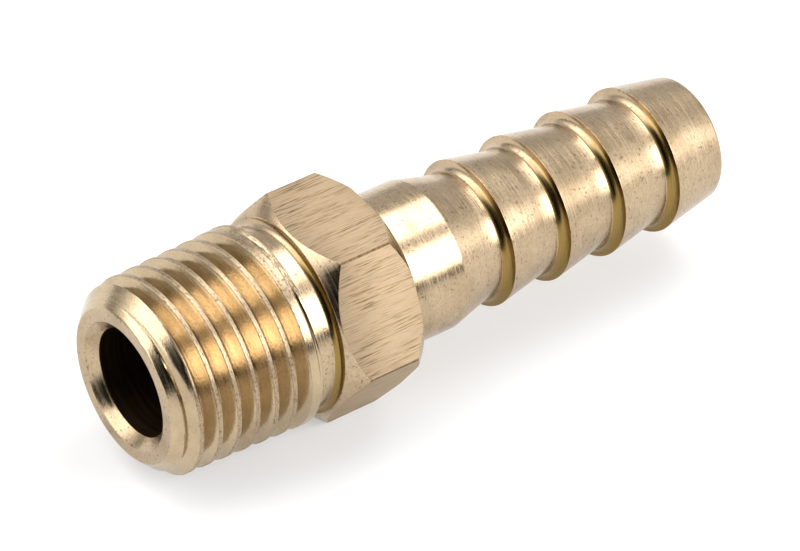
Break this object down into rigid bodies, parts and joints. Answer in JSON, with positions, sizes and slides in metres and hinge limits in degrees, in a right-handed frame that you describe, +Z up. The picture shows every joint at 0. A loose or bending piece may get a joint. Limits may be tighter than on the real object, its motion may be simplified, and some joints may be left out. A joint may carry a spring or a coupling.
{
  "type": "hose barb tail",
  "caption": "One-piece turned brass hose tail: taper pipe thread, relief neck, spanner hexagon, plain collar and barbed tail, bored right through.",
  "frame": {"origin": "centre of the thread's end face, on the bore's axis", "axes": "+X along the bore towards the barbed tip, +Z up; the part lies on one hexagon flat, which faces -Z"},
  "size_m": [0.046, 0.0162, 0.014],
  "materials": {
    "brass": "satin turned brass, with drawn streaks left on the hexagon's flats"
  },
  "bodies": {
    "root": {"hose_barb_tail": "brass"}
  },
  "joints": []
}
